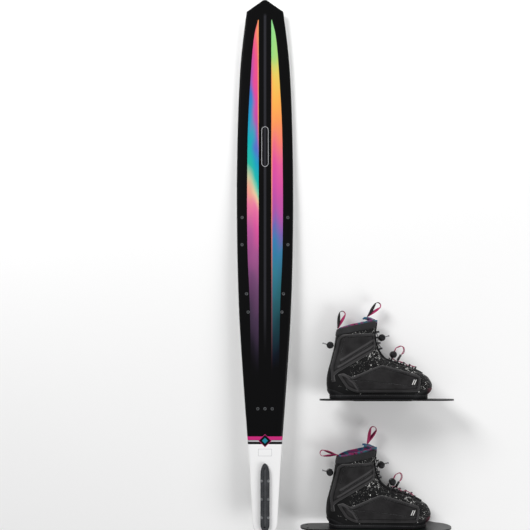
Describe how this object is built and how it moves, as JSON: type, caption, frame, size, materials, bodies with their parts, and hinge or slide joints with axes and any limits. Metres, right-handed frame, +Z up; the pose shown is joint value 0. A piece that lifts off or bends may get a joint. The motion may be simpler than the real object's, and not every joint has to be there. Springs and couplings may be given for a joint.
{
  "type": "slalom water ski with two plate-mounted boots",
  "caption": "Slalom water ski laid flat on its fin, with a pair of laced softshell boots on their mounting plates beside it.",
  "frame": {"origin": "centre of the footprint of the laid-out set, on the floor", "axes": "+Y along the ski from tail to tip, +X from the ski towards the boots, +Z up from the floor through the deck"},
  "size_m": [0.6698, 1.6512, 0.1627],
  "materials": {
    "carbon_top": "gloss clear-coated laminate with colour bands",
    "foam_core": "matt foam",
    "white_base": "gloss",
    "steel": "satin",
    "anodised": "dark grey anodised",
    "fin_alloy": "brushed",
    "black_plate": "satin black",
    "rubber": "matt",
    "foam_lining": "matt",
    "lining": "printed knit",
    "speckled_fabric": "black with pale flecks",
    "neoprene": "matt",
    "moulded_panel": "fine moulded grain",
    "black_plastic": "satin",
    "magenta_lace": "braided",
    "black_lace": "braided",
    "webbing": "woven"
  },
  "bodies": {
    "ski_set": {"top_laminate": "carbon_top", "ski_core": "foam_core", "base_laminate": "white_base", "binding_inserts": "steel", "fin_block": "anodised", "fin_clamp_bar": "anodised", "fin_set_screws": "steel", "fin_block_screws": "steel", "front_plate": "black_plate", "front_sole_screws": "steel", "front_outsole": "rubber", "front_insole": "foam_lining", "front_liner": "lining", "front_upper": "speckled_fabric", "front_collar": "neoprene", "front_tongue": "neoprene", "front_cuff_panels": "moulded_panel", "front_side_panels": "moulded_panel", "front_toe_heel_caps": "rubber", "front_lace_guides": "black_plastic", "front_instep_lace": "magenta_lace", "front_ankle_lace": "black_lace", "front_lace_tail": "magenta_lace", "front_tail_clip": "black_plastic", "rear_plate": "black_plate", "rear_sole_screws": "steel", "rear_outsole": "rubber", "rear_insole": "foam_lining", "rear_liner": "lining", "rear_upper": "speckled_fabric", "rear_collar": "neoprene", "rear_tongue": "neoprene", "rear_cuff_panels": "moulded_panel", "rear_side_panels": "moulded_panel", "rear_toe_heel_caps": "rubber", "rear_lace_guides": "black_plastic", "rear_instep_lace": "magenta_lace", "rear_ankle_lace": "black_lace", "rear_lace_tail": "magenta_lace", "rear_tail_clip": "black_plastic"},
    "fin": {"fin_blade": "fin_alloy", "wing_screw": "steel"},
    "wing": {"fin_wing": "anodised"},
    "front_instep_lock": {"front_instep_lock": "black_plastic"},
    "front_instep_button": {"front_instep_button": "black_plastic"},
    "front_ankle_lock": {"front_ankle_lock": "black_plastic"},
    "front_ankle_button": {"front_ankle_button": "black_plastic"},
    "front_heel_lock": {"front_heel_lock": "black_plastic"},
    "front_heel_button": {"front_heel_button": "black_plastic"},
    "front_heel_loop": {"front_heel_loop": "webbing"},
    "front_tongue_loop": {"front_tongue_loop": "webbing"},
    "rear_instep_lock": {"rear_instep_lock": "black_plastic"},
    "rear_instep_button": {"rear_instep_button": "black_plastic"},
    "rear_ankle_lock": {"rear_ankle_lock": "black_plastic"},
    "rear_ankle_button": {"rear_ankle_button": "black_plastic"},
    "rear_heel_lock": {"rear_heel_lock": "black_plastic"},
    "rear_heel_button": {"rear_heel_button": "black_plastic"},
    "rear_heel_loop": {"rear_heel_loop": "webbing"},
    "rear_tongue_loop": {"rear_tongue_loop": "webbing"}
  },
  "joints": [
    {"name": "fin_slide", "type": "slide", "parent": "ski_set", "child": "fin", "axis": [0, 0.998, -0.0629], "range_m": [-0.004, 0.004]},
    {"name": "wing_angle", "type": "hinge", "parent": "fin", "child": "wing", "pos_m": [-0.24612, -0.74183, 0.03912], "axis": [1, 0, 0], "range_deg": [-4, 10]},
    {"name": "front_instep_lock_slide", "type": "slide", "parent": "ski_set", "child": "front_instep_lock", "axis": [0.4067, 0.9017, -0.1468], "range_m": [0, 0.006]},
    {"name": "front_instep_button_press", "type": "slide", "parent": "front_instep_lock", "child": "front_instep_button", "axis": [0, -0.1606, -0.987], "range_m": [0, 0.0035], "stiffness_N_per_m": 300, "springref_m": -0.001},
    {"name": "front_ankle_lock_slide", "type": "slide", "parent": "ski_set", "child": "front_ankle_lock", "axis": [0.9659, 0.2555, -0.0416], "range_m": [0, 0.006]},
    {"name": "front_ankle_button_press", "type": "slide", "parent": "front_ankle_lock", "child": "front_ankle_button", "axis": [0, -0.1606, -0.987], "range_m": [0, 0.0035], "stiffness_N_per_m": 300, "springref_m": -0.001},
    {"name": "front_heel_lock_slide", "type": "slide", "parent": "ski_set", "child": "front_heel_lock", "axis": [-0.9659, 0.2555, -0.0416], "range_m": [0, 0.006]},
    {"name": "front_heel_button_press", "type": "slide", "parent": "front_heel_lock", "child": "front_heel_button", "axis": [0, -0.1606, -0.987], "range_m": [0, 0.0035], "stiffness_N_per_m": 300, "springref_m": -0.001},
    {"name": "front_heel_loop_swing", "type": "hinge", "parent": "ski_set", "child": "front_heel_loop", "pos_m": [-0.01912, -0.19454, 0.046], "axis": [0, 0.1606, 0.987], "range_deg": [-22, 113]},
    {"name": "front_tongue_loop_swing", "type": "hinge", "parent": "ski_set", "child": "front_tongue_loop", "pos_m": [0.07488, -0.15812, 0.04007], "axis": [0, 0.1606, 0.987], "range_deg": [-27, 93]},
    {"name": "rear_instep_lock_slide", "type": "slide", "parent": "ski_set", "child": "rear_instep_lock", "axis": [0.4067, 0.9086, -0.0945], "range_m": [0, 0.006]},
    {"name": "rear_instep_button_press", "type": "slide", "parent": "rear_instep_lock", "child": "rear_instep_button", "axis": [0, -0.1035, -0.9946], "range_m": [0, 0.0035], "stiffness_N_per_m": 300, "springref_m": -0.001},
    {"name": "rear_ankle_lock_slide", "type": "slide", "parent": "ski_set", "child": "rear_ankle_lock", "axis": [0.9659, 0.2574, -0.0268], "range_m": [0, 0.006]},
    {"name": "rear_ankle_button_press", "type": "slide", "parent": "rear_ankle_lock", "child": "rear_ankle_button", "axis": [0, -0.1035, -0.9946], "range_m": [0, 0.0035], "stiffness_N_per_m": 300, "springref_m": -0.001},
    {"name": "rear_heel_lock_slide", "type": "slide", "parent": "ski_set", "child": "rear_heel_lock", "axis": [-0.9659, 0.2574, -0.0268], "range_m": [0, 0.006]},
    {"name": "rear_heel_button_press", "type": "slide", "parent": "rear_heel_lock", "child": "rear_heel_button", "axis": [0, -0.1035, -0.9946], "range_m": [0, 0.0035], "stiffness_N_per_m": 300, "springref_m": -0.001},
    {"name": "rear_heel_loop_swing", "type": "hinge", "parent": "ski_set", "child": "rear_heel_loop", "pos_m": [-0.01912, -0.59284, 0.04513], "axis": [0, 0.1035, 0.9946], "range_deg": [-122, 13]},
    {"name": "rear_tongue_loop_swing", "type": "hinge", "parent": "ski_set", "child": "rear_tongue_loop", "pos_m": [0.07488, -0.55614, 0.04131], "axis": [0, 0.1035, 0.9946], "range_deg": [-46, 74]}
  ]
}
